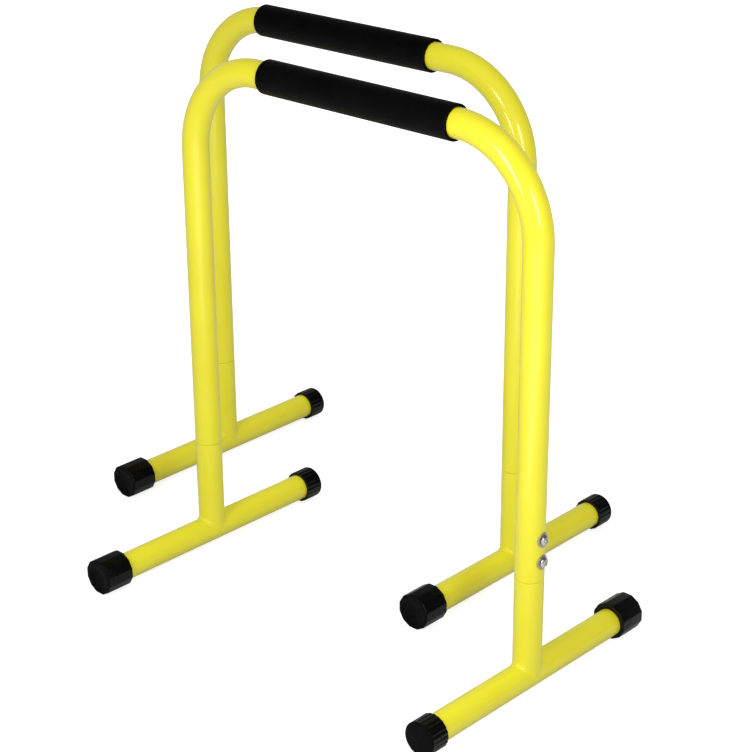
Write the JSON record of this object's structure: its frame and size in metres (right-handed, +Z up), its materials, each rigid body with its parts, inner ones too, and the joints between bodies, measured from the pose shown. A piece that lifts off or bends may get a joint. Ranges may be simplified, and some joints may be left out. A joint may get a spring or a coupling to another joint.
{
  "type": "dip station",
  "caption": "Free-standing dip bars: bent yellow steel tubes with black foam grips, bolted to welded T feet with turning levelling caps.",
  "frame": {"origin": "on the floor, under the middle of the bounding box of the pair of bars", "axes": "+X along the front bar's grip, to the right of someone who looks from the front bar towards the rear bar; +Y from the front bar towards the rear bar, along the front bar's foot tubes; +Z up"},
  "size_m": [0.863, 0.6538, 0.7524],
  "materials": {
    "yellow_paint": "glossy bright yellow powder coat on steel tube",
    "black_foam": "matte black closed-cell foam with a slight sheen",
    "black_plastic": "satin black moulded plastic",
    "zinc_plate": "bright zinc plate",
    "bare_steel": "plain steel, hidden inside the tubes"
  },
  "bodies": {
    "front_bar": {"front_top_frame": "yellow_paint", "front_grip": "black_foam", "front_left_foot_tube": "yellow_paint", "front_left_post": "yellow_paint", "front_left_weld": "yellow_paint", "front_left_end_cap": "black_plastic", "front_left_spigot": "bare_steel", "front_left_lower_bolt": "zinc_plate", "front_left_lower_washer": "zinc_plate", "front_left_lower_nut": "bare_steel", "front_left_upper_bolt": "zinc_plate", "front_left_upper_washer": "zinc_plate", "front_left_upper_nut": "bare_steel", "front_right_foot_tube": "yellow_paint", "front_right_post": "yellow_paint", "front_right_weld": "yellow_paint", "front_right_end_cap": "black_plastic", "front_right_spigot": "bare_steel", "front_right_lower_bolt": "zinc_plate", "front_right_lower_washer": "zinc_plate", "front_right_lower_nut": "bare_steel", "front_right_upper_bolt": "zinc_plate", "front_right_upper_washer": "zinc_plate", "front_right_upper_nut": "bare_steel"},
    "rear_bar": {"rear_top_frame": "yellow_paint", "rear_grip": "black_foam", "rear_left_foot_tube": "yellow_paint", "rear_left_post": "yellow_paint", "rear_left_weld": "yellow_paint", "rear_left_end_cap": "black_plastic", "rear_left_spigot": "bare_steel", "rear_left_lower_bolt": "zinc_plate", "rear_left_lower_washer": "zinc_plate", "rear_left_lower_nut": "bare_steel", "rear_left_upper_bolt": "zinc_plate", "rear_left_upper_washer": "zinc_plate", "rear_left_upper_nut": "bare_steel", "rear_right_foot_tube": "yellow_paint", "rear_right_post": "yellow_paint", "rear_right_weld": "yellow_paint", "rear_right_end_cap": "black_plastic", "rear_right_spigot": "bare_steel", "rear_right_lower_bolt": "zinc_plate", "rear_right_lower_washer": "zinc_plate", "rear_right_lower_nut": "bare_steel", "rear_right_upper_bolt": "zinc_plate", "rear_right_upper_washer": "zinc_plate", "rear_right_upper_nut": "bare_steel"},
    "front_left_leveller": {"front_left_levelling_cap": "black_plastic"},
    "front_right_leveller": {"front_right_levelling_cap": "black_plastic"},
    "rear_left_leveller": {"rear_left_levelling_cap": "black_plastic"},
    "rear_right_leveller": {"rear_right_levelling_cap": "black_plastic"}
  },
  "joints": [
    {"name": "bar_spacing", "type": "slide", "parent": "front_bar", "child": "rear_bar", "axis": [0, 1, 0], "range_m": [-0.15, 0.45]},
    {"name": "front_left_level", "type": "hinge", "parent": "front_bar", "child": "front_left_leveller", "pos_m": [-0.19383, -0.30594, 0.0233], "axis": [0, 1, 0], "continuous": true},
    {"name": "front_right_level", "type": "hinge", "parent": "front_bar", "child": "front_right_leveller", "pos_m": [0.40617, 0.08506, 0.0233], "axis": [0, 1, 0], "continuous": true},
    {"name": "rear_left_level", "type": "hinge", "parent": "rear_bar", "child": "rear_left_leveller", "pos_m": [-0.40356, -0.08368, 0.0233], "axis": [-0.0115, 0.9999, 0], "continuous": true},
    {"name": "rear_right_level", "type": "hinge", "parent": "rear_bar", "child": "rear_right_leveller", "pos_m": [0.1964, -0.07677, 0.0233], "axis": [-0.0115, 0.9999, 0], "continuous": true}
  ]
}
